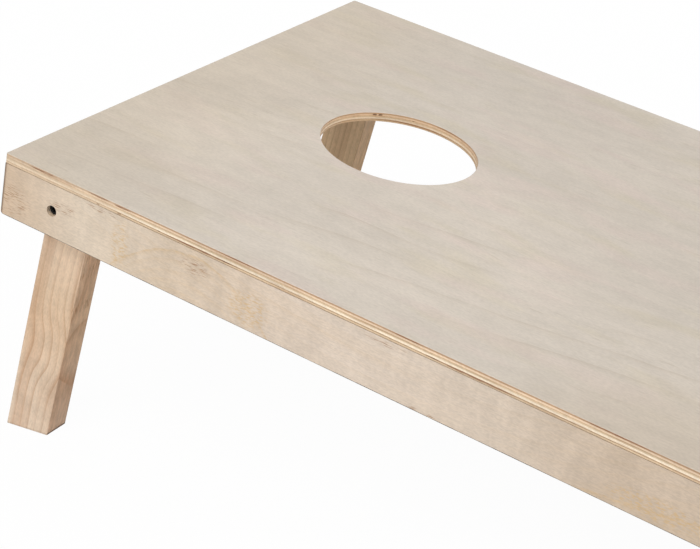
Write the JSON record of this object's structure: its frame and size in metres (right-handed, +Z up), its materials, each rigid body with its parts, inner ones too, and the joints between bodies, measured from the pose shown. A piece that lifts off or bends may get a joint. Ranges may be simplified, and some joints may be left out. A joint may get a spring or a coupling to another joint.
{
  "type": "cornhole board",
  "caption": "Sloping plywood target board with a round bag hole, on a pine rail frame with legs that fold flat beneath it.",
  "frame": {"origin": "on the floor, at the middle of the standing board's footprint", "axes": "+X runs down the slope from the high end to the low end, +Y across the board to the right side rail, +Z up"},
  "size_m": [1.2444, 0.6096, 0.2928],
  "materials": {
    "plywood": "sanded birch plywood, bare",
    "frame_pine": "sanded pine, bare",
    "leg_pine": "sanded pine, bare",
    "black_steel": "black oxide",
    "zinc_steel": "bright zinc plate"
  },
  "bodies": {
    "board": {"deck": "plywood", "left_side_rail": "frame_pine", "right_side_rail": "frame_pine", "high_end_rail": "frame_pine", "low_end_rail": "frame_pine", "centre_brace": "frame_pine", "left_pivot_bolt": "black_steel", "right_pivot_bolt": "black_steel", "left_spacer_washer": "zinc_steel", "right_spacer_washer": "zinc_steel", "left_nut_washer": "zinc_steel", "right_nut_washer": "zinc_steel", "left_lock_nut": "zinc_steel", "right_lock_nut": "zinc_steel", "high_end_rail_left_upper_screw": "zinc_steel", "high_end_rail_left_lower_screw": "zinc_steel", "high_end_rail_right_upper_screw": "zinc_steel", "high_end_rail_right_lower_screw": "zinc_steel", "centre_brace_left_upper_screw": "zinc_steel", "centre_brace_left_lower_screw": "zinc_steel", "centre_brace_right_upper_screw": "zinc_steel", "centre_brace_right_lower_screw": "zinc_steel", "low_end_rail_left_upper_screw": "zinc_steel", "low_end_rail_left_lower_screw": "zinc_steel", "low_end_rail_right_upper_screw": "zinc_steel", "low_end_rail_right_lower_screw": "zinc_steel", "deck_screw_left_1": "zinc_steel", "deck_screw_left_2": "zinc_steel", "deck_screw_left_3": "zinc_steel", "deck_screw_left_4": "zinc_steel", "deck_screw_high_end_rail_left": "zinc_steel", "deck_screw_centre_brace_left": "zinc_steel", "deck_screw_low_end_rail_left": "zinc_steel", "deck_screw_right_1": "zinc_steel", "deck_screw_right_2": "zinc_steel", "deck_screw_right_3": "zinc_steel", "deck_screw_right_4": "zinc_steel", "deck_screw_high_end_rail_right": "zinc_steel", "deck_screw_centre_brace_right": "zinc_steel", "deck_screw_low_end_rail_right": "zinc_steel"},
    "left_leg": {"left_leg": "leg_pine"},
    "right_leg": {"right_leg": "leg_pine"}
  },
  "joints": [
    {"name": "left_leg_fold", "type": "hinge", "parent": "board", "child": "left_leg", "pos_m": [-0.52693, -0.2598, 0.24809], "axis": [0, -1, 0], "range_deg": [0, 94.8]},
    {"name": "right_leg_fold", "type": "hinge", "parent": "board", "child": "right_leg", "pos_m": [-0.52693, 0.2598, 0.24809], "axis": [0, -1, 0], "range_deg": [0, 94.8]}
  ]
}
